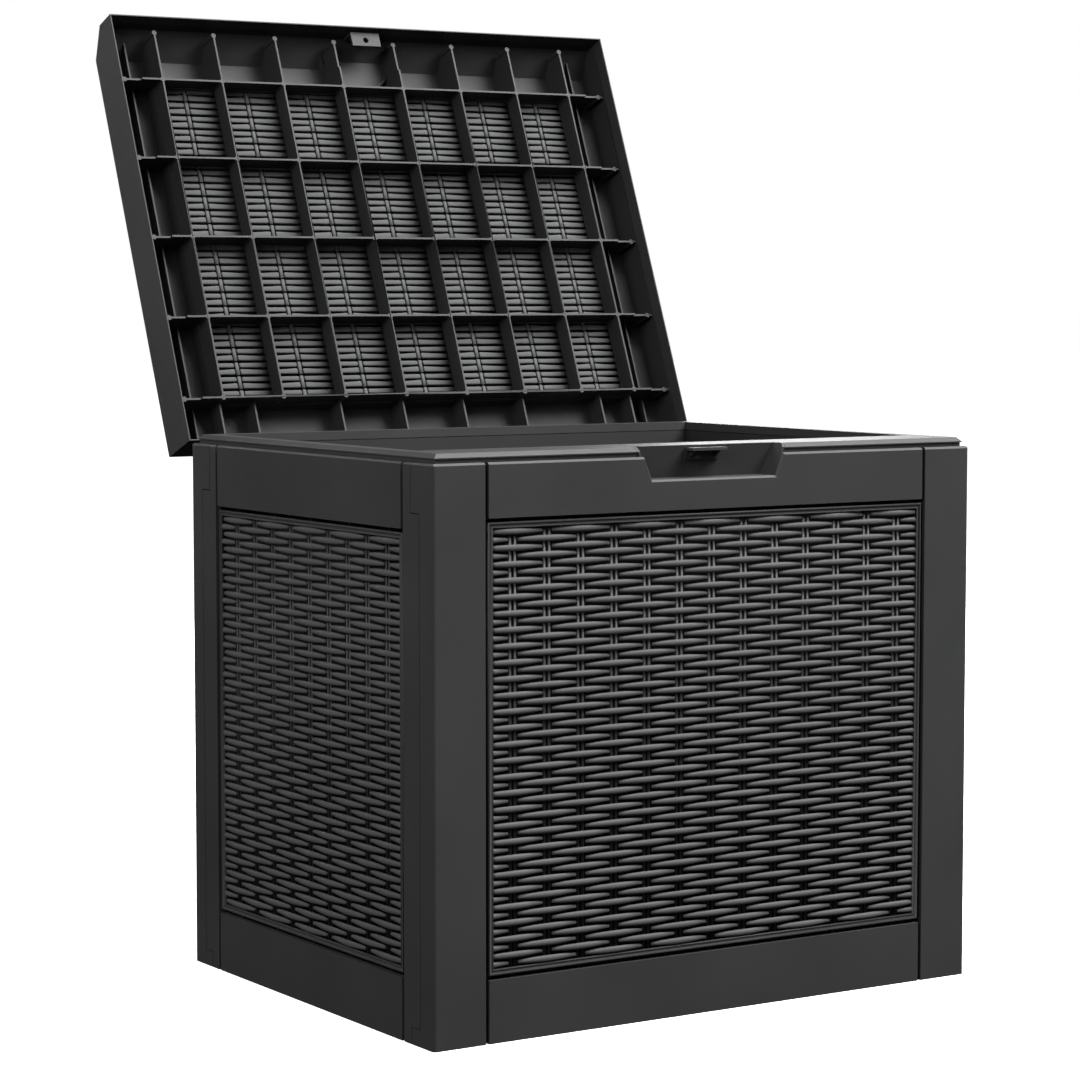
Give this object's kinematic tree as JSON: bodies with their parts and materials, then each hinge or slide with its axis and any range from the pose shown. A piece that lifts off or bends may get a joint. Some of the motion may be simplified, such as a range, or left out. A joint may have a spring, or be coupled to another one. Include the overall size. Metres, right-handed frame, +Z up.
{
  "type": "deck storage box",
  "caption": "Upright outdoor storage box with woven-look wall panels, framed corners, a finger notch and a ribbed lid hinged at the rear.",
  "frame": {"origin": "centre of the box's footprint, on the ground, at the underside of the floor's centre pad", "axes": "+X to the right seen from the front, +Y to the rear where the hinges are, +Z up"},
  "size_m": [0.56, 0.6275, 0.8808],
  "materials": {
    "resin": "satin moulded, fine texture",
    "inner_resin": "matt moulded",
    "wicker": "satin, moulded woven strands",
    "steel": "zinc plated"
  },
  "bodies": {
    "box": {"body_screw_left_1": "steel", "body_screw_left_2": "steel", "body_screw_right_1": "steel", "body_screw_right_2": "steel", "bottom_rail_front": "resin", "bottom_rail_left": "resin", "bottom_rail_rear": "resin", "bottom_rail_right": "resin", "corner_post_front_left": "resin", "corner_post_front_right": "resin", "corner_post_rear_left": "resin", "corner_post_rear_right": "resin", "floor_panel": "inner_resin", "hinge_body_leaf_left": "steel", "hinge_body_leaf_right": "steel", "hinge_pin_left": "steel", "hinge_pin_right": "steel", "inner_wall_front": "inner_resin", "inner_wall_left": "inner_resin", "inner_wall_rear": "inner_resin", "inner_wall_right": "inner_resin", "padlock_keeper": "resin", "side_stile_front_left": "resin", "side_stile_front_right": "resin", "side_stile_rear_left": "resin", "side_stile_rear_right": "resin", "top_rail_front": "resin", "top_rail_left": "resin", "top_rail_rear": "resin", "top_rail_right": "resin", "top_rim": "resin", "wicker_panel_front": "wicker", "wicker_panel_left": "wicker", "wicker_panel_rear": "wicker", "wicker_panel_right": "wicker"},
    "lid": {"hinge_lid_leaf_left": "steel", "hinge_lid_leaf_right": "steel", "lid_frame": "resin", "lid_lock_tab": "resin", "lid_screw_left_1": "steel", "lid_screw_left_2": "steel", "lid_screw_right_1": "steel", "lid_screw_right_2": "steel", "lid_wicker_panel": "wicker"}
  },
  "joints": [
    {"name": "lid_hinge", "type": "hinge", "parent": "box", "child": "lid", "pos_m": [0, 0.2175, 0.48], "axis": [1, 0, 0], "range_deg": [0, 112]}
  ]
}
